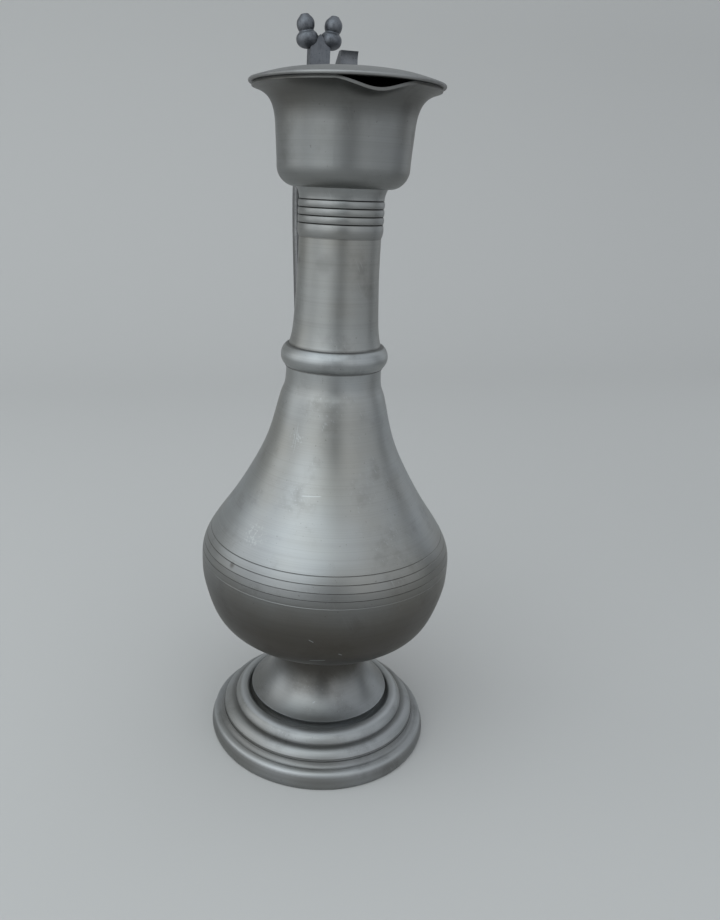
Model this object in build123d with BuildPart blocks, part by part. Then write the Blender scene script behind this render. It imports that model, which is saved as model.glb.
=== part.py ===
"""Pewter jug with a hinged lid: a tall pear-shaped serving jug on a stepped foot.

Millimetres, +Z up. The origin is the centre of the foot where the jug stands.
The pinched lip points to -Y, and the handle and the lid's hinge are at +Y.
The body is a stack of spun and cast sections, soldered one on another, so each
round piece is a profile of radius and height turned about Z.
"""
from math import cos, radians, sin, sqrt
import os

from build123d import *

os.makedirs("parts", exist_ok=True)

# Metal and fits
wall = 2.2
solder_gap = 0.15
pin_clearance = 0.05
turning_gap = 0.3
rest_gap = 0.3

# Foot: a hollow base with a rolled rim, a cove and two beads
foot_radius = 85.2
foot_stand_width = 3.0
foot_roll_height = 13.4
foot_roll_tuck = 1.2
foot_roll_draw = 5.7
foot_cove_height = 4.0
foot_step = 0.5
foot_band_height = 1.6
lower_bead_radius = 75.4
lower_bead_height = 5.6
upper_bead_radius = 66.5
upper_bead_height = 7.6
upper_bead_width = 9.0
upper_bead_roll = 1.9

# Stem: a trumpet whose crisp skirt hangs over its seat in the foot
stem_seat_depth = 4.5
stem_seat_margin = 1.0
stem_ring_height = 5.0
stem_ring_radius = 50.4
skirt_radius = 53.6
skirt_lip = 1.4
skirt_undercut = 1.2
stem_flare_height = 34.0
stem_neck_height = 9.2
stem_neck_radius = 33.0

# Pear body: a round bowl below the widest line and a long shoulder above it
belly_radius = 92.8
bowl_depth = 74.0
shoulder_height = 150.7
neck_joint_radius = 33.7
belly_line_count = 4
belly_line_pitch = 5.1
belly_line_depth = 0.45
belly_line_width = 0.55

# Neck, with a bead over its lower joint and a reeded collar at its top
neck_height = 112.2
neck_radius = 27.9
neck_foot_draw = 1.3
bead_radius = 37.8
bead_height = 15.6
bead_band = 0.6
bead_band_wall = 0.7
collar_height = 31.2
collar_bead_height = 8.7
collar_wall = 1.5
collar_lip = 1.9
reed_pitch = 5.0
reed_count = 3
reed_swell = 0.5
reed_cut = 0.6

# Mouth: a bell-shaped cup with a flared rim and a pinched lip
cup_height = 61.7
cup_corner = 13.0
cup_radius = 44.0
cup_wall = 1.8
rim_radius = 61.2
rim_upturn = 16.7
lip_drop = 5.6
lip_turn = 26.0
lip_tilt = 8.4
lip_steps = 4

# Lid: a shallow dome that rests on the rim
lid_radius = 63.4
lid_edge = 2.0
lid_crown = 8.1
lid_brim = 6.8
lid_wall = 2.2

# Lid strap: lies over the dome from the hinge to an upturned end at the middle
strap_thickness = 2.6
strap_back_width = 14.5
strap_front_width = 11.4
strap_end_height = 10.5
strap_end_top = 2.5
strap_end_slope = 9.5
strap_end_foot = 3.6
strap_end_scoop = 1.6
strap_pad = 1.7
strap_hold = 6.3

# Hinge: one moving knuckle between two fixed ones, on a plain pin
hinge_reach = 72.0
hinge_rise = 4.4
knuckle_radius = 4.8
knuckle_width = 9.0
pin_radius = 2.0
pin_head_radius = 2.9
pin_head = 0.6

# Thumbpiece: a post with a gabled top that carries a pair of acorns
post_depth = 9.4
post_height = 20.0
post_gable = 8.8
acorn_height = 25.6
acorn_spread = 8.6
acorn_lean = 9.6
acorn_cup_radius = 7.9
acorn_cup_half_height = 6.3
acorn_cup_turn = 46.0
acorn_nut_radius = 6.3
acorn_nut_half_height = 6.8
acorn_nut_rise = 9.3
acorn_nut_turn = 36.0

# Handle: a strap that bows out from the hinge block and comes down to the shoulder
handle_top_width = 22.0
handle_foot_width = 17.5
handle_top_thickness = 9.5
handle_foot_thickness = 7.5
handle_edge_round = 2.5
handle_top_reach = 81.0
handle_top_drop = 25.4
handle_top_lean = 25.0
handle_bow_reach = 88.4
handle_bow_drop = 48.0
handle_mid_reach = 82.5
handle_mid_height = 351.2
handle_low_reach = 71.5
handle_low_height = 271.2
handle_foot_sink = 10.6
handle_foot_height = 207.2
block_arm_height = 17.0
block_arm_drop = 19.0

# Heights of the joints, from the table upwards
cove_top = foot_roll_height + foot_cove_height
lower_bead_foot = cove_top + foot_band_height
upper_bead_foot = lower_bead_foot + lower_bead_height
upper_bead_top = upper_bead_foot + upper_bead_height
stem_seat = upper_bead_top - stem_seat_depth
skirt_height = stem_seat + stem_ring_height + skirt_undercut + skirt_lip
flare_top = skirt_height + stem_flare_height
bowl_foot = flare_top + stem_neck_height
seam_height = bowl_foot + bowl_depth
neck_joint = seam_height + shoulder_height
cup_foot = neck_joint + neck_height
collar_foot = cup_foot - collar_height
rim_height = cup_foot + cup_height
lid_seat = rim_height + rest_gap
crown_height = lid_seat + lid_edge + lid_crown
pin_height = lid_seat + hinge_rise
pad_height = pin_height + knuckle_radius + turning_gap
pad_front = hinge_reach - knuckle_radius - 2 * turning_gap
rim_edge = cup_wall * cos(radians(rim_upturn))
reed_root = neck_radius + 0.65
neck_top_radius = reed_root - collar_wall


def between(start, end, share):
    """Size that lies a share of the way from start to end."""
    return start + (end - start) * share


def radius_at(curve, height):
    """Radius of an outline at a height."""
    return curve.intersect(Axis((0, height, 0), (1, 0, 0)))[0].X


def inner_face(curve, depth, steps=8):
    """Outline parallel to another, set in by the metal's depth, drawn back from its end."""
    points = []
    for step in range(steps, -1, -1):
        run = curve % (step / steps)
        points.append(curve @ (step / steps) + Vector(-run.Y, run.X) * depth)
    return Spline(*points, tangents=(-(curve % 1), -(curve % 0)))


def bowl_outline():
    """Outside of the bowl, from the stem out and up to the widest line."""
    shape = ((0.284, 0.071), (0.535, 0.182), (0.765, 0.325), (0.908, 0.540), (0.970, 0.715))
    points = [(stem_neck_radius, bowl_foot)]
    for out, rise in shape:
        points.append((
            between(stem_neck_radius, belly_radius, out), between(bowl_foot, seam_height, rise)))
    points.append((belly_radius, seam_height))
    return Spline(*points, tangents=((1, 0.217), (0, 1)))


def shoulder_outline(extra=0.0):
    """Outside of the pear shoulder, from the widest line up to the neck bead."""
    shape = ((0.113, 0.072), (0.272, 0.325), (0.463, 0.603), (0.680, 0.832), (0.877, 0.958))
    top = neck_joint - bead_height / 2
    points = [(belly_radius + extra, seam_height)]
    for rise, draw in shape:
        points.append((
            between(belly_radius, neck_joint_radius, draw) + extra,
            between(seam_height, top, rise)))
    points.append((neck_joint_radius + extra, top))
    return Spline(*points, tangents=((0, 1), (0, 1)))


def cup_outline(extra=0.0, sunk=0.0):
    """Outside of the cup, from its corner up to the rim, which is sunk in the pouring lip."""
    shape = ((0.43, 0.07), (0.72, 0.17), (0.873, 0.378), (0.945, 0.62))
    foot = cup_foot + cup_corner
    top = rim_height - rim_edge
    points = [(cup_radius + extra, foot)]
    for rise, flare in shape:
        points.append((
            between(cup_radius, rim_radius, flare) + extra,
            between(foot, top, rise) - flare * lip_drop * sunk))
    points.append((rim_radius + extra, top - lip_drop * sunk))
    upturn = radians(rim_upturn - lip_tilt * sunk)
    ends = ((0.02, 1), (cos(upturn), sin(upturn)))
    return Spline(*points, tangents=ends)


def cup_plane(turn):
    """Upright plane through the cup's axis, at a turn in degrees from the front."""
    across = (sin(radians(turn)), -cos(radians(turn)), 0)
    along = (-cos(radians(turn)), -sin(radians(turn)), 0)
    return Plane((0, 0, 0), x_dir=across, z_dir=along)


def cup_section(sunk=0.0):
    """Cut through the cup's metal, with its rim sunk by a share of the lip's drop."""
    drain = neck_top_radius - wall
    floor_edge = (cup_radius - cup_corner, cup_foot + cup_wall)
    base = Line((drain, cup_foot), (cup_radius - cup_corner, cup_foot))
    JernArc(base @ 1, (1, 0), cup_corner, 90)
    side = cup_outline(sunk=sunk)
    inside = inner_face(side, cup_wall)
    Line(side @ 1, inside @ 0)
    TangentArc(inside @ 1, floor_edge, tangent=-(side % 0))
    Polyline(floor_edge, (drain, cup_foot + cup_wall), base @ 0)


def dome_outline(reach, foot, top):
    """Arch of the lid, from its crown out to the brim."""
    shape = ((0.55, 0.21), (0.757, 0.45), (0.86, 0.66))
    points = [(0, top)]
    for out, drop in shape:
        points.append((reach * out, between(top, foot, drop)))
    points.append((reach, foot))
    return Spline(*points, tangents=((1, 0), (1, -0.34)))


# Foot ring: spun in one piece, hollow below, with its outer edge rolled under
with BuildPart() as foot_ring:
    with BuildSketch(Plane.XZ):
        with BuildLine():
            roll = Spline(
                (foot_radius - foot_roll_tuck, 0),
                (foot_radius, foot_roll_height * 0.22),
                (foot_radius - foot_roll_draw / 4, foot_roll_height * 0.66),
                (foot_radius - foot_roll_draw, foot_roll_height),
                tangents=((0.6, 1), (-1, 0.3)))
            cove = SagittaArc(roll @ 1, (lower_bead_radius + foot_step, cove_top), 1.1)
            step = Polyline(
                cove @ 1, (lower_bead_radius, cove_top), (lower_bead_radius, lower_bead_foot))
            lower_bead = SagittaArc(step @ 1, (upper_bead_radius, upper_bead_foot), -1.8)
            bead_crest = upper_bead_radius - upper_bead_width
            upper_bead = SagittaArc(lower_bead @ 1, (bead_crest, upper_bead_top), -2.2)
            bead_back = SagittaArc(
                upper_bead @ 1,
                (bead_crest - upper_bead_roll, upper_bead_top - upper_bead_roll),
                -0.4)
            ring_bore = stem_ring_radius - wall
            seat_edge = stem_ring_radius + stem_seat_margin
            seat_cove = SagittaArc(bead_back @ 1, (seat_edge, stem_seat), 0.6)
            Polyline(
                seat_cove @ 1,
                (ring_bore, stem_seat),
                (ring_bore, stem_seat - wall),
                (seat_edge, stem_seat - wall),
                (bead_crest, upper_bead_top - 2 * wall),
                (upper_bead_radius - wall, upper_bead_foot - wall),
                (lower_bead_radius - wall, cove_top - wall),
                (foot_radius - foot_roll_draw - wall, foot_roll_height - wall),
                (foot_radius - foot_stand_width - wall, foot_roll_height / 2),
                (foot_radius - foot_stand_width - wall, 0),
                roll @ 0)
        make_face()
    revolve(axis=Axis.Z)
foot_ring.part.label = "foot_ring"
export_step(foot_ring.part, "parts/foot_ring.step")

# Stem: a trumpet that stands on the foot by a ring inside its skirt
with BuildPart() as foot_stem:
    with BuildSketch(Plane.XZ):
        with BuildLine():
            flare = TangentArc(
                (stem_neck_radius, flare_top), (skirt_radius, skirt_height), tangent=(0, -1))
            bore_radius = stem_ring_radius - wall
            centre = flare.arc_center
            bore_drop = sqrt((flare.radius + wall) ** 2 - (centre.X - bore_radius) ** 2)
            skirt = Polyline(
                flare @ 1,
                (skirt_radius - 0.3, skirt_height - skirt_lip),
                (stem_ring_radius, stem_seat + stem_ring_height),
                (stem_ring_radius, stem_seat),
                (bore_radius, stem_seat),
                (bore_radius, flare_top - bore_drop))
            bore = TangentArc(
                (stem_neck_radius - wall, flare_top), skirt @ 1, tangent=(0, -1))
            Polyline(
                bore @ 0,
                (stem_neck_radius - wall, bowl_foot),
                (stem_neck_radius, bowl_foot),
                flare @ 0)
        make_face()
    revolve(axis=Axis.Z)
foot_stem.part.label = "foot_stem"
export_step(foot_stem.part, "parts/foot_stem.step")

# Bowl: the lower half of the body, raised round with a flat floor on the stem
with BuildPart() as body_bowl:
    with BuildSketch(Plane.XZ):
        with BuildLine():
            outside = bowl_outline()
            inside = inner_face(outside, wall)
            Line(outside @ 1, inside @ 0)
            Polyline(
                inside @ 1, (0, (inside @ 1).Y), (0, bowl_foot), outside @ 0)
        make_face()
    revolve(axis=Axis.Z)
    seam_edge = body_bowl.edges().group_by(Axis.Z)[-1].sort_by(SortBy.RADIUS)[-1]
    chamfer(seam_edge, belly_line_depth * 0.7)
body_bowl.part.label = "body_bowl"
export_step(body_bowl.part, "parts/body_bowl.step")

# Shoulder: the upper half of the body, with fine lines turned above the seam
with BuildPart() as body_shoulder:
    with BuildSketch(Plane.XZ):
        with BuildLine():
            outside = shoulder_outline()
            throat = Line(outside @ 1, (neck_joint_radius, neck_joint))
            inside = inner_face(outside, wall)
            Polyline(throat @ 1, (neck_joint_radius - wall, neck_joint), inside @ 0)
            Line(inside @ 1, outside @ 0)
        make_face()
    revolve(axis=Axis.Z)
    with BuildSketch(Plane.XZ):
        for line in range(1, belly_line_count + 1):
            line_height = seam_height + line * belly_line_pitch
            line_radius = radius_at(outside, line_height)
            with BuildLine():
                Polyline(
                    (line_radius - belly_line_depth, line_height),
                    (line_radius + belly_line_depth, line_height - belly_line_width),
                    (line_radius + belly_line_depth, line_height + belly_line_width),
                    close=True)
            make_face()
    revolve(axis=Axis.Z, mode=Mode.SUBTRACT)
    seam_edge = body_shoulder.edges().group_by(Axis.Z)[0].sort_by(SortBy.RADIUS)[-1]
    chamfer(seam_edge, belly_line_depth * 0.7)
body_shoulder.part.label = "body_shoulder"
export_step(body_shoulder.part, "parts/body_shoulder.step")

# Neck bead: a half-round ring soldered over the joint of shoulder and neck
with BuildPart() as neck_bead:
    with BuildSketch(Plane.XZ):
        with BuildLine():
            bore = neck_joint_radius + solder_gap
            band = bore + bead_band_wall
            bead_foot = neck_joint - bead_height / 2
            bead_top = neck_joint + bead_height / 2
            half_round = SagittaArc(
                (band, bead_foot + bead_band), (band, bead_top - bead_band), band - bead_radius)
            Polyline(
                half_round @ 1,
                (bore - neck_foot_draw / 2, bead_top),
                (bore - neck_foot_draw, bead_top),
                (bore, neck_joint),
                (bore, bead_foot),
                (band, bead_foot),
                half_round @ 0)
        make_face()
    revolve(axis=Axis.Z)
neck_bead.part.label = "neck_bead"
export_step(neck_bead.part, "parts/neck_bead.step")

# Neck: a drawn tube that flares to the shoulder and steps in under the collar
with BuildPart() as neck_tube:
    with BuildSketch(Plane.XZ):
        with BuildLine():
            neck_run = collar_foot - neck_joint
            joint_wall = Line(
                (neck_joint_radius, neck_joint),
                (neck_joint_radius - neck_foot_draw, neck_joint + bead_height / 2))
            outside = Spline(
                joint_wall @ 1,
                (between(neck_joint_radius, neck_radius, 0.75), neck_joint + 0.36 * neck_run),
                (between(neck_joint_radius, neck_radius, 0.96), neck_joint + 0.68 * neck_run),
                (neck_radius, collar_foot),
                tangents=((-0.35, 1), (0, 1)))
            inside = inner_face(outside, wall)
            Polyline(
                outside @ 1,
                (neck_top_radius, collar_foot),
                (neck_top_radius, cup_foot),
                (neck_top_radius - wall, cup_foot),
                (neck_top_radius - wall, collar_foot + reed_pitch),
                inside @ 0)
            Polyline(inside @ 1, (neck_joint_radius - wall, neck_joint), joint_wall @ 0)
        make_face()
    revolve(axis=Axis.Z)
neck_tube.part.label = "neck_tube"
export_step(neck_tube.part, "parts/neck_tube.step")

# Reeded collar: a sleeve with a bead and three reeds that carries the cup
with BuildPart() as reeded_collar:
    with BuildSketch(Plane.XZ):
        with BuildLine():
            bore = neck_top_radius + solder_gap
            bead_joint = collar_foot + collar_bead_height
            low_bead = SagittaArc(
                (neck_radius + solder_gap, collar_foot), (reed_root, bead_joint),
                -reed_swell * 1.5)
            for reed in range(reed_count):
                reed_foot = bead_joint + reed * reed_pitch
                reed_line = SagittaArc(
                    (reed_root, reed_foot), (reed_root, reed_foot + reed_pitch), -reed_swell)
            top_band = SagittaArc(
                reed_line @ 1, (reed_root + collar_lip, cup_foot), 0.5)
            Polyline(
                top_band @ 1, (bore, cup_foot), (bore, collar_foot), low_bead @ 0)
        make_face()
    revolve(axis=Axis.Z)
    with BuildSketch(Plane.XZ):
        for reed in range(reed_count + 1):
            cut_height = bead_joint + reed * reed_pitch
            with BuildLine():
                Polyline(
                    (reed_root - reed_cut, cut_height),
                    (reed_root + reed_cut, cut_height - reed_cut),
                    (reed_root + reed_cut, cut_height + reed_cut),
                    close=True)
            make_face()
    revolve(axis=Axis.Z, mode=Mode.SUBTRACT)
reeded_collar.part.label = "reeded_collar"
export_step(reeded_collar.part, "parts/reeded_collar.step")

# Mouth cup: a spun bell with a flared rim, pressed down at the front into a pouring lip
with BuildPart() as pouring_lip:
    for step in range(-lip_steps, lip_steps + 1):
        share = 1 - abs(step / lip_steps)
        with BuildSketch(cup_plane(lip_turn * step / lip_steps)):
            with BuildLine():
                cup_section(share ** 2 * (3 - 2 * share))
            make_face()
    loft()

with BuildPart() as mouth_cup:
    with BuildSketch(cup_plane(lip_turn)):
        with BuildLine():
            cup_section()
        make_face()
    revolve(axis=Axis.Z, revolution_arc=360 - 2 * lip_turn)
    add(pouring_lip.part)
mouth_cup.part.label = "mouth_cup"
export_step(mouth_cup.part, "parts/mouth_cup.step")

# Lid: a spun dome with a flat brim that rests on the rim
with BuildPart() as lid_dome:
    with BuildSketch(Plane.XZ):
        with BuildLine():
            top = dome_outline(lid_radius - lid_edge / 4, lid_seat + lid_edge, crown_height)
            brim_edge = SagittaArc(top @ 1, (lid_radius - lid_edge / 4, lid_seat), lid_edge / 4)
            brim_inside = lid_radius - lid_brim
            under = dome_outline(brim_inside, lid_seat, crown_height - lid_wall)
            Line(brim_edge @ 1, under @ 1)
            Line(under @ 0, top @ 0)
        make_face()
    revolve(axis=Axis.Z)
lid_dome.part.label = "lid_dome"
export_step(lid_dome.part, "parts/lid_dome.step")

# Lid strap: follows the dome from the moving knuckle to its upturned end
with BuildPart() as lid_strap:
    with BuildSketch(Plane.XZ):
        with BuildLine():
            lifted = dome_outline(
                lid_radius, lid_seat + lid_edge + strap_thickness,
                crown_height + strap_thickness)
            Polyline(lifted @ 1, (lid_radius, lid_seat), (0, lid_seat), lifted @ 0)
        make_face()
    revolve(axis=Axis.Z)
    with BuildSketch(Plane.XY.offset(lid_seat)):
        with BuildLine():
            Polyline(
                (-strap_front_width / 2, -strap_end_foot),
                (strap_front_width / 2, -strap_end_foot),
                (strap_back_width / 2, pad_front),
                (-strap_back_width / 2, pad_front),
                close=True)
        make_face()
    extrude(amount=lid_edge + lid_crown + strap_thickness, mode=Mode.INTERSECT)
    with BuildSketch(Plane.YZ):
        with BuildLine():
            end_top = crown_height + strap_end_height
            strap_top = crown_height + strap_thickness
            scoop = SagittaArc(
                (-strap_end_foot, crown_height - lid_wall / 2), (-strap_end_foot * 0.65, end_top),
                -strap_end_scoop)
            Polyline(
                scoop @ 1,
                (strap_end_top, end_top),
                (strap_end_top + strap_end_slope, strap_top - strap_thickness / 4),
                (strap_end_top + strap_end_slope, crown_height - lid_wall / 2),
                scoop @ 0)
        make_face()
    extrude(amount=strap_front_width / 2, both=True)
    with BuildSketch(Plane.YZ):
        with BuildLine():
            web_foot = pin_height - knuckle_radius * 0.6
            Polyline(
                (lid_radius - strap_hold, lid_seat + lid_edge),
                (pad_front, web_foot),
                (pad_front, pad_height),
                (pad_front + post_depth, pad_height),
                (pad_front + post_depth, pad_height + strap_pad),
                (pad_front, pad_height + strap_pad),
                (lid_radius - strap_hold, lid_seat + lid_edge + strap_thickness + lid_crown / 4),
                close=True)
        make_face()
    extrude(amount=strap_back_width / 2, both=True)
    with BuildSketch(Plane.YZ):
        with Locations((hinge_reach, pin_height)):
            Circle(knuckle_radius)
        with BuildLine():
            Polyline(
                (pad_front - turning_gap, web_foot),
                (hinge_reach, web_foot),
                (hinge_reach, pad_height + turning_gap),
                (pad_front - turning_gap, pad_height + turning_gap),
                close=True)
        make_face()
    extrude(amount=knuckle_width / 2, both=True)
    with BuildSketch(Plane.XZ):
        with BuildLine():
            seat = dome_outline(lid_radius - lid_edge / 4, lid_seat + lid_edge, crown_height)
            below = lid_seat - lid_crown
            Polyline(
                seat @ 1,
                (lid_radius + solder_gap, lid_seat + lid_edge),
                (lid_radius + solder_gap, below),
                (0, below),
                seat @ 0)
        make_face()
    revolve(axis=Axis.Z, mode=Mode.SUBTRACT)
    with BuildSketch(Plane.YZ):
        with Locations((hinge_reach, pin_height)):
            Circle(pin_radius + pin_clearance)
    extrude(amount=strap_back_width, both=True, mode=Mode.SUBTRACT)
lid_strap.part.label = "lid_strap"
export_step(lid_strap.part, "parts/lid_strap.step")


def oval_side(radius, half_height, middle, start, end, steps=4):
    """Side of an upright oval, from one turn in degrees to another."""
    turns = [radians(between(start, end, step / steps)) for step in range(steps + 1)]
    points = [(radius * cos(turn), middle + half_height * sin(turn)) for turn in turns]
    ends = [(-radius * sin(turns[end]), half_height * cos(turns[end])) for end in (0, -1)]
    return Spline(*points, tangents=ends)


# Thumbpiece: a cast post over the hinge with twin acorns that lean apart
with BuildPart() as acorn:
    with BuildSketch(Plane.XZ):
        with BuildLine():
            cup_side = oval_side(acorn_cup_radius, acorn_cup_half_height, 0, -90, acorn_cup_turn)
            nut_side = oval_side(
                acorn_nut_radius, acorn_nut_half_height, acorn_nut_rise, -acorn_nut_turn, 90)
            Line(cup_side @ 1, nut_side @ 0)
            Line(nut_side @ 1, cup_side @ 0)
        make_face()
    revolve(axis=Axis.Z)

with BuildPart() as thumbpiece:
    post_foot = pad_height + strap_pad
    post_middle = pad_front + post_depth / 2
    with BuildSketch(Plane.XZ.offset(-post_middle)):
        with BuildLine():
            half_post = strap_back_width / 2
            Polyline(
                (-half_post, post_foot),
                (half_post, post_foot),
                (half_post, post_foot + post_height),
                (0, post_foot + post_height + post_gable),
                (-half_post, post_foot + post_height),
                close=True)
        make_face()
    extrude(amount=post_depth / 2, both=True)
    for side in (-1, 1):
        acorn_seat = (side * acorn_spread, post_middle, post_foot + acorn_height)
        with Locations(Location(acorn_seat, (0, side * acorn_lean, 0))):
            add(acorn.part)
thumbpiece.part.label = "thumbpiece"
export_step(thumbpiece.part, "parts/thumbpiece.step")

# Handle: a cast strap that bows out from the hinge block and lands on the shoulder
handle_start = (handle_top_reach, pin_height - handle_top_drop)
handle_foot_reach = radius_at(shoulder_outline(), handle_foot_height) - handle_foot_sink
top_lean = radians(handle_top_lean)
with BuildPart() as handle:
    with BuildLine(Plane.YZ) as handle_line:
        Spline(
            handle_start,
            (handle_bow_reach, pin_height - handle_bow_drop),
            (handle_mid_reach, handle_mid_height),
            (handle_low_reach, handle_low_height),
            (handle_foot_reach, handle_foot_height),
            tangents=((sin(top_lean), -cos(top_lean)), (-0.55, -0.84)))
    path = handle_line.line
    with BuildSketch(Plane(path @ 0, x_dir=(1, 0, 0), z_dir=path % 0)):
        RectangleRounded(handle_top_width, handle_top_thickness, handle_edge_round)
    with BuildSketch(Plane(path @ 1, x_dir=(1, 0, 0), z_dir=path % 1)):
        RectangleRounded(handle_foot_width, handle_foot_thickness, handle_edge_round)
    sweep(path=path, multisection=True)
    with BuildSketch(Plane.XZ):
        with BuildLine():
            seat = shoulder_outline(solder_gap)
            Polyline(seat @ 1, (0, (seat @ 1).Y), (0, seam_height), seat @ 0)
        make_face()
    revolve(axis=Axis.Z, mode=Mode.SUBTRACT)
handle.part.label = "handle"
export_step(handle.part, "parts/handle.step")

# Hinge block: an arm from the cup that carries the two fixed knuckles and the handle
with BuildPart() as hinge_block:
    with BuildSketch(Plane.YZ):
        with BuildLine():
            across = (
                cos(top_lean) * handle_top_thickness / 2,
                sin(top_lean) * handle_top_thickness / 2)
            joint_back = (handle_start[0] + across[0], handle_start[1] + across[1])
            joint_front = (handle_start[0] - across[0], handle_start[1] - across[1])
            saddle = pin_height - knuckle_radius - turning_gap
            arm_top = pin_height - block_arm_drop
            lug_back = (hinge_reach + knuckle_radius / 2, saddle)
            ThreePointArc(
                lug_back,
                (hinge_reach + knuckle_radius * 2, saddle - knuckle_radius * 1.9),
                joint_back)
            Line(joint_back, joint_front)
            arch = SagittaArc(
                joint_front, (cup_radius, arm_top - block_arm_height), -block_arm_height / 6)
            Polyline(
                arch @ 1,
                (cup_radius, arm_top),
                (hinge_reach - knuckle_radius, saddle - knuckle_radius / 2),
                (hinge_reach - knuckle_radius, saddle),
                lug_back)
        make_face()
    extrude(amount=handle_top_width / 2, both=True)
    with BuildSketch(Plane.YZ):
        with Locations((hinge_reach, pin_height)):
            Circle(knuckle_radius)
        with BuildLine():
            Polyline(
                (hinge_reach - knuckle_radius, saddle - turning_gap),
                (hinge_reach + knuckle_radius / 2, saddle - turning_gap),
                (hinge_reach + knuckle_radius / 2, pin_height),
                (hinge_reach - knuckle_radius, pin_height),
                close=True)
        make_face()
    extrude(amount=handle_top_width / 2, both=True)
    with BuildSketch(Plane.YZ):
        with Locations((hinge_reach, between(saddle, pad_height, 0.5))):
            Rectangle(4 * knuckle_radius, pad_height - saddle)
    extrude(
        amount=knuckle_width / 2 + turning_gap, both=True, mode=Mode.SUBTRACT)
    with BuildSketch(Plane.YZ):
        with Locations((hinge_reach, pin_height)):
            Circle(pin_radius + pin_clearance)
    extrude(amount=handle_top_width, both=True, mode=Mode.SUBTRACT)
    with BuildSketch(Plane.XZ):
        with BuildLine():
            seat = cup_outline(solder_gap)
            Polyline(
                seat @ 1, (0, rim_height), (0, cup_foot),
                (cup_radius + solder_gap, cup_foot), seat @ 0)
        make_face()
    revolve(axis=Axis.Z, mode=Mode.SUBTRACT)
hinge_block.part.label = "hinge_block"
export_step(hinge_block.part, "parts/hinge_block.step")

# Hinge pin: a plain rod through the three knuckles, with its ends spread into low heads
with BuildPart() as hinge_pin:
    half_pin = handle_top_width / 2 + pin_clearance
    with BuildSketch(Plane.YZ.offset(-half_pin)):
        with Locations((hinge_reach, pin_height)):
            Circle(pin_radius)
    extrude(amount=2 * half_pin)
    for side in (-1, 1):
        with BuildSketch(Plane.YZ.offset(side * half_pin)):
            with Locations((hinge_reach, pin_height)):
                Circle(pin_head_radius)
        extrude(amount=side * pin_head)
    ends = hinge_pin.faces().filter_by(Axis.X)
    chamfer([ends.sort_by(Axis.X)[0].edge(), ends.sort_by(Axis.X)[-1].edge()], pin_head / 2)
hinge_pin.part.label = "hinge_pin"
export_step(hinge_pin.part, "parts/hinge_pin.step")
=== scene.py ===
from math import cos, radians, sin

import bpy
from mathutils import Matrix, Vector

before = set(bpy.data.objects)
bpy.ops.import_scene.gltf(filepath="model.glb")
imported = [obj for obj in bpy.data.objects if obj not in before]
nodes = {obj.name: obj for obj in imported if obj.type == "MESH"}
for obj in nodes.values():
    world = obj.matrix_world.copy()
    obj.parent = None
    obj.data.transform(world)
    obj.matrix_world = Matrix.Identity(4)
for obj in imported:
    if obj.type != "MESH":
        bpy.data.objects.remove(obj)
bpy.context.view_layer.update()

# The camera stands in front of the jug, a little to the left of the pouring lip,
# and looks slightly down at it, held a couple of degrees out of level.
camera_place = (-0.16776, -0.53207, 0.41796)
camera_side = radians(17.5)
camera_turn = radians(-1.265)
camera_dip = radians(17.983)
camera_roll = radians(2.369)
facing = Vector((sin(camera_side + camera_turn), cos(camera_side + camera_turn), 0))
rightward = Vector((facing.y, -facing.x, 0))
looking = facing * cos(camera_dip) - Vector((0, 0, sin(camera_dip)))
upward = facing * sin(camera_dip) + Vector((0, 0, cos(camera_dip)))
image_right = rightward * cos(camera_roll) + upward * sin(camera_roll)
image_up = upward * cos(camera_roll) - rightward * sin(camera_roll)
camera_data = bpy.data.cameras.new("camera")
camera_data.lens = 31.3
camera_data.shift_x = 0.0509
camera_data.shift_y = -0.0188
camera_data.clip_start = 0.01
camera = bpy.data.objects.new("camera", camera_data)
camera_axes = Matrix((image_right, image_up, -looking)).transposed().to_4x4()
camera.matrix_world = Matrix.Translation(camera_place) @ camera_axes
bpy.context.scene.collection.objects.link(camera)
bpy.context.scene.camera = camera
bpy.context.scene.view_settings.view_transform = "Standard"

# The studio: a pale sweep that runs from under the jug up behind it, a broad soft
# lamp above the left shoulder, three low ones round the front, and two dark cards
# that stand where a room would be dark.


class Reading:
    """A number that varies over a surface; sums written with it add Math nodes."""

    def __init__(self, finish, socket):
        self.finish = finish
        self.socket = socket

    def worked(self, operation, *numbers):
        """Adds one Math node."""
        return self.finish.node("Math", {"operation": operation}, dict(enumerate(numbers)))

    def __add__(self, other):
        return self.worked("ADD", self, other)

    def __radd__(self, other):
        return self.worked("ADD", other, self)

    def __sub__(self, other):
        return self.worked("SUBTRACT", self, other)

    def __rsub__(self, other):
        return self.worked("SUBTRACT", other, self)

    def __mul__(self, other):
        return self.worked("MULTIPLY", self, other)

    def __rmul__(self, other):
        return self.worked("MULTIPLY", other, self)

    def __truediv__(self, other):
        return self.worked("DIVIDE", self, other)

    def __pow__(self, other):
        return self.worked("POWER", self, other)

    def __abs__(self):
        return self.worked("ABSOLUTE", self)

    def eased(self, low, high):
        """Goes smoothly from 0 at the low reading to 1 at the high one."""
        return self.finish.node(
            "MapRange", {"interpolation_type": "SMOOTHSTEP"}, {0: self, 1: low, 2: high})

    def near(self, level, spread):
        """Is 1 at a level and falls smoothly to 0 at the spread to both sides."""
        return 1 - abs(self - level).eased(0, spread)


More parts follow.
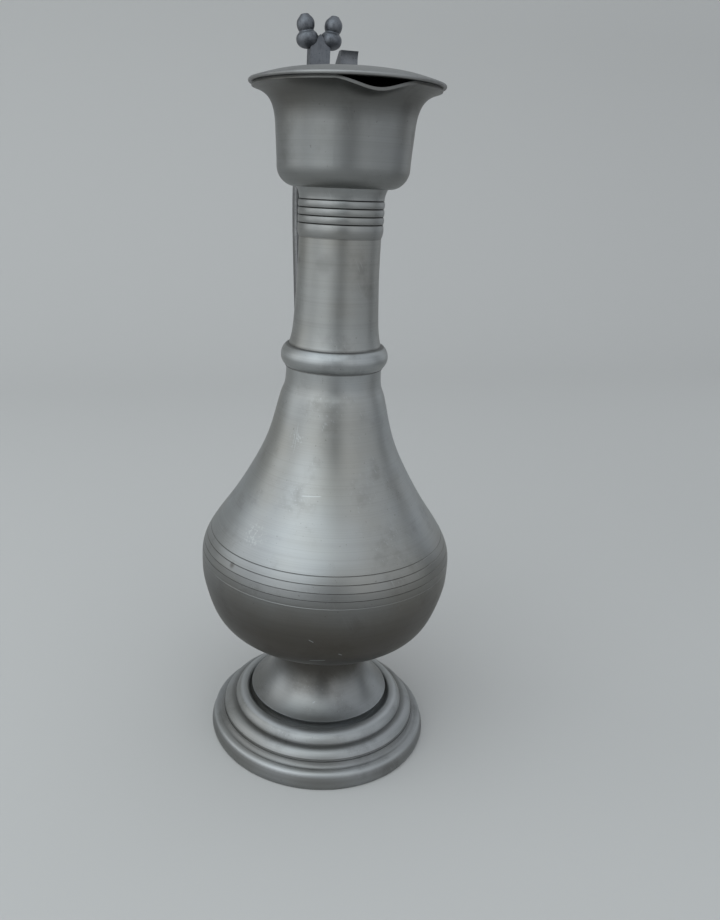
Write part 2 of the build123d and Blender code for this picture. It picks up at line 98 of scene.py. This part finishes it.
class Finish:
    """A surface finish, put together node by node."""

    def __init__(self, name):
        self.material = bpy.data.materials.new(name)
        self.material.use_nodes = True
        self.tree = self.material.node_tree
        self.tree.nodes.clear()

    def node(self, kind, settings, inputs, output=0):
        """Adds a node, sets it, and then fills or links its sockets."""
        made = self.tree.nodes.new("ShaderNode" + kind)
        for name, value in settings.items():
            setattr(made, name, value)
        for place, value in inputs.items():
            if isinstance(value, Reading):
                self.tree.links.new(value.socket, made.inputs[place])
            else:
                made.inputs[place].default_value = value
        return Reading(self, made.outputs[output]) if made.outputs else None

    def blend(self, share, first, second):
        """Mixes two colours by a share."""
        return self.node("Mix", {"data_type": "RGBA"}, {0: share, 6: first, 7: second}, output=2)

    def noise(self, path, scale, detail, roughness=0.5):
        """Cloudy noise along a path."""
        return self.node("TexNoise", {}, {
            "Vector": path, "Scale": scale, "Detail": detail, "Roughness": roughness})

    def matt(self, colour, roughness):
        """Closes the finish as a matt paper or cloth."""
        self.node("OutputMaterial", {}, {0: self.node(
            "BsdfPrincipled", {}, {"Base Color": colour, "Roughness": roughness})})

    def metal(self, piece, colour, roughness, relief, strength, depth):
        """Closes the finish as bare metal and lays it on a piece of the jug."""
        bump = self.node("Bump", {}, {"Strength": strength, "Distance": depth, "Height": relief})
        self.node("OutputMaterial", {}, {0: self.node("BsdfPrincipled", {}, {
            "Base Color": colour, "Roughness": roughness, "Metallic": 1.0, "Normal": bump})})
        mesh = nodes[piece].data
        mesh.materials.clear()
        mesh.materials.append(self.material)


sweep_colour = (0.49, 0.486, 0.474, 1)
sweep_half_width = 3.0
sweep_front = -3.0
sweep_bend = 1.1
sweep_radius = 0.9
sweep_top = 3.2
sweep_profile = [(sweep_front, 0.0), (sweep_bend, 0.0)]
for turn in range(6, 91, 6):
    sweep_profile.append((
        sweep_bend + sweep_radius * sin(radians(turn)),
        sweep_radius - sweep_radius * cos(radians(turn))))
sweep_profile.append((sweep_bend + sweep_radius, sweep_top))
sweep_mesh = bpy.data.meshes.new("studio_sweep")
sweep_points = [
    (side, reach, height)
    for reach, height in sweep_profile for side in (-sweep_half_width, sweep_half_width)]
sweep_faces = [
    (2 * step, 2 * step + 1, 2 * step + 3, 2 * step + 2)
    for step in range(len(sweep_profile) - 1)]
sweep_mesh.from_pydata(sweep_points, [], sweep_faces)
sweep_mesh.shade_smooth()
sweep = bpy.data.objects.new("studio_sweep", sweep_mesh)
bpy.context.scene.collection.objects.link(sweep)
paper = Finish("sweep_paper")
paper.matt(sweep_colour, 0.9)
sweep_mesh.materials.append(paper.material)

felt = Finish("card_felt")
felt.matt((0.08, 0.085, 0.09, 1), 0.95)


def dark_card(name, place, turn, width):
    """A card of dark felt, a metre tall, that stands on the floor out of the picture."""
    half = width / 2
    card_mesh = bpy.data.meshes.new(name)
    card_mesh.from_pydata(
        [(-half, 0, 0), (half, 0, 0), (half, 0, 1), (-half, 0, 1)], [], [(0, 1, 2, 3)])
    card_mesh.materials.append(felt.material)
    card = bpy.data.objects.new(name, card_mesh)
    card.location = place
    card.rotation_euler = (0, 0, radians(turn))
    card.visible_camera = False
    bpy.context.scene.collection.objects.link(card)


dark_card("card_front", (-0.19, -1.20, 0.0), -9.5, 0.38)
dark_card("card_right", (1.15, -0.05, 0.0), 90.0, 0.30)

world = bpy.data.worlds.new("studio_air")
world.use_nodes = True
air = world.node_tree.nodes["Background"].inputs
air["Color"].default_value = (0.82, 0.87, 0.92, 1)
air["Strength"].default_value = 0.92
bpy.context.scene.world = world


def soft_lamp(name, place, width, height, power, colour):
    """A soft box aimed at the middle of the jug, with its power in watts."""
    lamp_data = bpy.data.lights.new(name, "AREA")
    lamp_data.shape = "RECTANGLE"
    lamp_data.size = width
    lamp_data.size_y = height
    lamp_data.energy = power
    lamp_data.color = colour
    lamp = bpy.data.objects.new(name, lamp_data)
    lamp.location = place
    aim = Vector((0, 0, 0.27)) - Vector(place)
    lamp.rotation_euler = aim.to_track_quat("-Z", "Y").to_euler()
    bpy.context.scene.collection.objects.link(lamp)


soft_lamp("lamp_overhead", (-0.80, -0.85, 2.05), 2.4, 2.2, 16.5, (0.86, 0.96, 1.0))
soft_lamp("lamp_left", (-1.55, -1.10, 0.9), 1.5, 1.7, 6.3, (0.95, 0.99, 1.0))
soft_lamp("lamp_side", (-1.75, 0.45, 0.8), 1.0, 1.4, 3.0, (0.98, 1.0, 0.98))
soft_lamp("lamp_right", (0.57, -1.92, 0.9), 0.8, 1.6, 1.4, (1.0, 0.99, 0.96))

# Foot ring: spun in one piece, with a rolled rim and two beads. Painted highlights run along
# the crest of the upper bead and the top of the roll, painted shade and grime lie in the groove,
# fine lines and coves, and painted shade darkens the foot towards the bottom.


def turned_pewter(
        piece, pale, dull, dark, painted_shade_by_height=(-1.0, -2.0, 0.0), shade_and_grime_crevices=(), painted_highlight_crests=(),
        scratches=(), scuffs=(), stains=(), gloss=0.40):
    """Spun and skimmed pewter: rings from the lathe, soft clouding, pits and hairlines.
    A painted shade deepens from one height to another. A crevice of painted shade and
    grime, or a crest with a painted highlight, is a height, a spread and a share. A scratch
    is the turn in degrees from the pouring lip and the height of its two ends, and its width.
    A scuff is a patch of bright specks and a stain a dull patch, each with a place, a size and a
    share."""
    fine_rings_per_metre = 1300
    broad_rings_per_metre = 230
    rub_fineness, rub_slant, rub_length = 900, 420, 40
    finish = Finish(piece + "_finish")
    place = finish.node("TexCoord", {}, {}, output=3)
    across, along, height = [
        finish.node("SeparateXYZ", {}, {0: place}, output=axis) for axis in range(3)]
    reach = (across * across + along * along) ** 0.5
    turn = finish.node("Math", {"operation": "ARCTAN2"}, {0: across, 1: 0 - along})

    def along_rings(per_metre, wander):
        """Path on which noise runs round the piece as lathe rings."""
        return finish.node("CombineXYZ", {}, {
            0: reach * per_metre, 1: height * per_metre, 2: wander})

    fine_rings = finish.noise(along_rings(fine_rings_per_metre, across * 4), 1.0, 2.0)
    broad_rings = finish.noise(along_rings(broad_rings_per_metre, along * 5), 1.0, 3.0)
    drifts = finish.noise(place, 11.0, 3.0)
    clouds = finish.noise(place, 34.0, 6.0, 0.62)
    pits = finish.noise(place, 520.0, 1.0)
    rub_path = finish.node("CombineXYZ", {}, {
        0: across * rub_fineness + height * rub_slant,
        1: along * rub_fineness,
        2: height * rub_length})
    hairlines = finish.noise(rub_path, 1.0, 0.0).eased(0.70, 0.78) * clouds.eased(0.46, 0.60)
    # A paler tone, used for the real hairlines, scratches and scuffs and for the painted highlights
    # on crests.
    bright = tuple(min(1, tone * 1.35) for tone in pale)
    coats = [
        (clouds.eased(0.50, 0.74) * 0.30, dark),
        (broad_rings.eased(0.45, 0.75) * 0.07, dark),
        (fine_rings.eased(0.45, 0.75) * 0.07, dark),
        (pits.eased(0.735, 0.78) * 0.30, dark),
        (hairlines * 0.30, bright)]
    # Painted shade: the colour darkens from one height to another, towards where shade falls.
    clear, deep, depth = painted_shade_by_height
    drifting = height + (clouds - 0.5) * 0.010
    coats.append((drifting.eased(clear, deep) * depth, dark))
    # Painted shade, with some grime, darkens the grooves and coves.
    for level, spread, share in shade_and_grime_crevices:
        coats.append((height.near(level, spread) * share, dark))
    # Painted highlights brighten the crests of beads, rims and edges.
    for level, spread, share in painted_highlight_crests:
        coats.append((height.near(level, spread) * share, bright))
    for start_turn, start_height, end_turn, end_height, width in scratches:
        run = (turn - radians(start_turn)) / radians(end_turn - start_turn)
        line = start_height + run * (end_height - start_height)
        ends = run.eased(-0.08, 0.08) * (1 - run.eased(0.92, 1.08))
        coats.append((height.near(line, width) * ends * 0.6, bright))
    for spot, size, share in scuffs:
        away = finish.node("VectorMath", {"operation": "DISTANCE"}, {0: place, 1: spot}, output=1)
        coats.append((away.eased(size, size * 0.3) * pits.eased(0.54, 0.64) * share, bright))
    for spot, size, share in stains:
        away = finish.node("VectorMath", {"operation": "DISTANCE"}, {0: place, 1: spot}, output=1)
        ragged = away + (clouds - 0.5) * size * 2.5
        coats.append((ragged.eased(size, 0) * share, dark))
    colour = finish.blend(drifts.eased(0.34, 0.66), (*dull, 1), (*pale, 1))
    for share, tone in coats:
        colour = finish.blend(share, colour, (*tone, 1))
    roughness = (
        gloss + (clouds - 0.5) * 0.16 + (drifts - 0.5) * 0.12
        + fine_rings * 0.05 + hairlines * 0.08)
    relief = fine_rings * 0.5 + broad_rings * 0.9 - pits.eased(0.72, 0.78) * 0.6
    finish.metal(piece, colour, roughness, relief, 0.26, 0.00010)


turned_pewter(
    "foot_ring", pale=(0.350, 0.360, 0.365), dull=(0.295, 0.295, 0.284), dark=(0.07, 0.065, 0.06),
    painted_shade_by_height=(0.0230, 0.0040, 0.20),
    shade_and_grime_crevices=(
        (0.0250, 0.0012, 0.45), (0.0190, 0.0006, 0.60), (0.0174, 0.0006, 0.50),
        (0.0150, 0.0024, 0.35), (0.0062, 0.0030, 0.25)),
    painted_highlight_crests=((0.0314, 0.0016, 0.80), (0.0110, 0.0022, 0.50)),
    scuffs=(((-0.0140, -0.0581, 0.0316), 0.0035, 0.8),), gloss=0.46)

# Stem: a spun trumpet whose crisp skirt hangs over its seat in the foot, polished
# smoother than the rest because it is out of the way of knocks.
# Painted shade darkens the top of the stem under the bowl, and a painted highlight runs along the
# skirt's edge.
turned_pewter(
    "foot_stem", pale=(0.265, 0.275, 0.280), dull=(0.223, 0.223, 0.215), dark=(0.05, 0.043, 0.035),
    painted_shade_by_height=(0.0440, 0.0680, 0.80), painted_highlight_crests=((0.0347, 0.0012, 0.90),),
    scratches=((-22.5, 0.0437, -20.0, 0.0446, 0.0005),), gloss=0.36)

# Bowl: the lower half of the body, raised round and soldered to the stem. Painted shade
# darkens it towards the bottom, and a faint painted highlight runs along the seam.
turned_pewter(
    "body_bowl", pale=(0.343, 0.355, 0.358), dull=(0.298, 0.293, 0.272), dark=(0.060, 0.051, 0.041),
    painted_shade_by_height=(0.1900, 0.1200, 0.84), painted_highlight_crests=((0.1523, 0.0004, 0.12),),
    scratches=(
        (-22.5, 0.1270, -20.5, 0.1252, 0.0006), (-9.0, 0.1145, -7.4, 0.1133, 0.0006),
        (-22.3, 0.1058, -14.9, 0.1073, 0.0006)))

# Shoulder: the upper half of the body, spun in pewter and soldered to the bowl at the
# widest line, with four fine lines turned above that seam. It has the most scratches.
# Painted shade darkens it a little towards the seam, and painted shade and grime lie in the four
# fine lines and along the seam.
turned_pewter(
    "body_shoulder", pale=(0.343, 0.355, 0.358), dull=(0.298, 0.295, 0.276),
    dark=(0.060, 0.051, 0.041),
    painted_shade_by_height=(0.1900, 0.1200, 0.84),
    shade_and_grime_crevices=(
        (0.1576, 0.0005, 0.45), (0.1627, 0.0005, 0.50), (0.1678, 0.0005, 0.60),
        (0.1729, 0.0005, 0.60), (0.1525, 0.0005, 0.50)),
    scratches=(
        (-34.7, 0.2167, -21.9, 0.2177, 0.0005), (-50.8, 0.2600, -49.6, 0.2440, 0.0060),
        (-52.6, 0.2550, -51.9, 0.2480, 0.0050)),
    scuffs=(((-0.0634, -0.0405, 0.1872), 0.0120, 0.5), ((-0.0335, -0.0280, 0.2500), 0.0080, 0.5)),
    stains=(((-0.0793, -0.0418, 0.1666), 0.0030, 0.60),))

# Neck bead: a half-round ring of pewter, soldered over the joint of shoulder and neck,
# with painted shade and grime in both corners and a painted highlight along its crown.
turned_pewter(
    "neck_bead", pale=(0.345, 0.356, 0.358), dull=(0.300, 0.298, 0.282), dark=(0.06, 0.055, 0.05),
    shade_and_grime_crevices=((0.2956, 0.0012, 0.60), (0.3108, 0.0012, 0.60)), painted_highlight_crests=((0.3050, 0.0030, 0.25),))

# Neck: a drawn pewter tube that flares to the shoulder and is soldered to it under the
# bead. It is handled more than any other place.
# Painted shade and grime darken it where it meets the bead and the collar.
turned_pewter(
    "neck_tube", pale=(0.305, 0.310, 0.302), dull=(0.268, 0.260, 0.238), dark=(0.06, 0.055, 0.05),
    shade_and_grime_crevices=((0.3112, 0.0014, 0.45), (0.3840, 0.0010, 0.45)),
    stains=(((-0.0158, -0.0204, 0.3678), 0.0080, 0.25), ((-0.0258, 0.0010, 0.3682), 0.0050, 0.60)))

# Reeded collar: a turned pewter sleeve, soldered round the top of the neck, with a bead
# and three reeds. It carries the cup, and its cuts are darkened with painted shade and grime.
turned_pewter(
    "reeded_collar", pale=(0.295, 0.303, 0.302), dull=(0.255, 0.252, 0.238),
    dark=(0.035, 0.032, 0.03),
    shade_and_grime_crevices=(
        (0.3929, 0.0008, 0.75), (0.3979, 0.0008, 0.75), (0.4029, 0.0008, 0.75),
        (0.4079, 0.0008, 0.75)))

# Mouth cup: a spun pewter bell with a flared rim, pressed down at the front into a lip.
# Painted shade darkens it under the flare, and a painted highlight runs along the rim's edge.
turned_pewter(
    "mouth_cup", pale=(0.235, 0.240, 0.236), dull=(0.203, 0.197, 0.180), dark=(0.05, 0.044, 0.037),
    painted_shade_by_height=(0.4480, 0.4690, 0.50), painted_highlight_crests=((0.4773, 0.0010, 0.80),))

# Lid: a shallow dome of spun pewter that rests on the rim and swings up on the hinge.
# Its top is duller than the body.
turned_pewter(
    "lid_dome", pale=(0.27, 0.27, 0.266), dull=(0.215, 0.214, 0.21),
    dark=(0.07, 0.065, 0.06), gloss=0.46)

# Lid strap: cast pewter, filed and soldered along the dome, from the moving knuckle of
# the hinge to an end turned up at the middle of the lid.


def cast_pewter(piece, pale, dull, dark, filed=(0, 1, 0), gloss=0.46):
    """Cast and filed pewter: the skin of the mould, small pinholes, straight file marks
    along one direction, and a dark film that the cloth leaves behind."""
    along_file, across_file = 140, 2600
    finish = Finish(piece + "_finish")
    place = finish.node("TexCoord", {}, {}, output=3)
    lanes = finish.node("VectorMath", {"operation": "MULTIPLY"}, {
        0: place, 1: tuple(along_file if share else across_file for share in filed)})
    file_marks = finish.noise(lanes, 1.0, 1.0)
    skin = finish.noise(place, 380.0, 4.0, 0.6)
    film = finish.noise(place, 70.0, 5.0, 0.6)
    pinholes = finish.noise(place, 900.0, 0.0)
    colour = finish.blend(film.eased(0.36, 0.64), (*dull, 1), (*pale, 1))
    colour = finish.blend(skin.eased(0.48, 0.72) * 0.35, colour, (*dark, 1))
    colour = finish.blend(file_marks.eased(0.52, 0.72) * 0.25, colour, (*dark, 1))
    colour = finish.blend(pinholes.eased(0.74, 0.78) * 0.60, colour, (*dark, 1))
    roughness = gloss + (film - 0.5) * 0.22 + (file_marks - 0.5) * 0.14
    relief = skin * 1.2 + file_marks * 0.7 - pinholes.eased(0.73, 0.78)
    finish.metal(piece, colour, roughness, relief, 0.35, 0.00012)


cast_pewter(
    "lid_strap", pale=(0.17, 0.175, 0.185), dull=(0.125, 0.13, 0.14), dark=(0.05, 0.05, 0.052))

# Thumbpiece: a post with a gabled top and twin acorns, cast in pewter in one piece and
# soldered on the strap over the hinge. It is filed upwards.
cast_pewter(
    "thumbpiece", pale=(0.155, 0.163, 0.177), dull=(0.110, 0.117, 0.130), dark=(0.04, 0.04, 0.043),
    filed=(0, 0, 1))

# Handle: a strap of cast pewter that bows out from the hinge block and is soldered to
# the shoulder, filed along its length and rubbed smooth by hands.
cast_pewter(
    "handle", pale=(0.21, 0.21, 0.21), dull=(0.16, 0.16, 0.16), dark=(0.06, 0.06, 0.06),
    filed=(0, 0, 1))

# Hinge block: a cast pewter arm, soldered to the back of the cup, that ends in the two
# fixed knuckles and carries the head of the handle.
cast_pewter(
    "hinge_block", pale=(0.19, 0.19, 0.195), dull=(0.14, 0.14, 0.145), dark=(0.06, 0.06, 0.06))

# Hinge pin: a plain drawn rod through the three knuckles, held by its spread ends.
# Its marks run along the rod.
cast_pewter(
    "hinge_pin", pale=(0.20, 0.20, 0.20), dull=(0.15, 0.15, 0.15), dark=(0.06, 0.06, 0.06),
    filed=(1, 0, 0))
